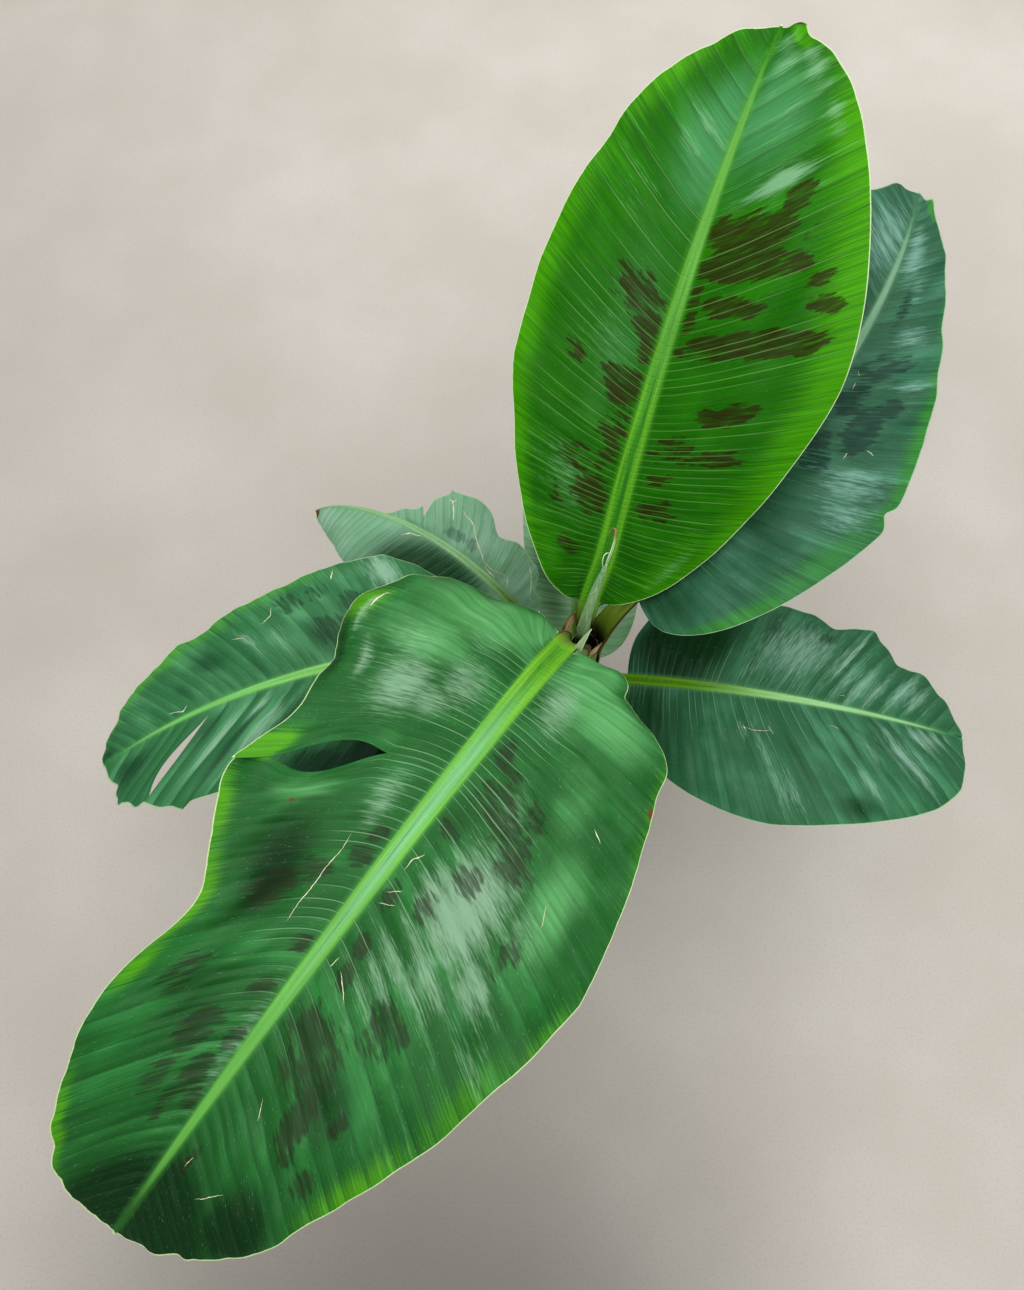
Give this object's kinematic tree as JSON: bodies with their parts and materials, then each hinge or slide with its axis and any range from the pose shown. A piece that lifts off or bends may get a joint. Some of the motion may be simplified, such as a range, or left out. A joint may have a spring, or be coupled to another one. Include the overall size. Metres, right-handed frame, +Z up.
{
  "type": "potted banana plant",
  "caption": "Young banana plant: broad oval leaves on short stalks around an upright sheathed stem with a rolled central leaf, standing in a plain round tapered pot.",
  "frame": {"origin": "middle of the pot's flat underside", "axes": "+Z up along the stem; the large lower leaf leans towards -X and -Y, the upright youngest leaf towards +Y"},
  "size_m": [1.0173, 1.0744, 1.0012],
  "materials": {
    "pot_plastic": "moulded matt nursery plastic",
    "potting_mix": "moist peat and bark potting mix",
    "sheath": "smooth waxy leaf sheaths with dry brown edges",
    "rolled_leaf": "pale rolled leaf with a waxy bloom",
    "petiole": "smooth waxy leaf stalk with a thin brown edge",
    "young_leaf": "satin leaf skin, bright green with maroon blotches",
    "mature_leaf": "satin leaf skin, blue-green with a grey bloom"
  },
  "bodies": {
    "root": {"pot": "pot_plastic", "potting_soil": "potting_mix", "pseudostem": "sheath", "spear_leaf": "rolled_leaf", "leaf_1_petiole": "petiole", "leaf_1_blade": "young_leaf", "leaf_2_petiole": "petiole", "leaf_2_blade": "young_leaf", "leaf_3_petiole": "petiole", "leaf_3_blade": "mature_leaf", "leaf_4_petiole": "petiole", "leaf_4_blade": "mature_leaf", "leaf_5_petiole": "petiole", "leaf_5_blade": "mature_leaf", "leaf_6_petiole": "petiole", "leaf_6_blade": "mature_leaf", "leaf_7_petiole": "petiole", "leaf_7_blade": "mature_leaf"}
  },
  "joints": []
}
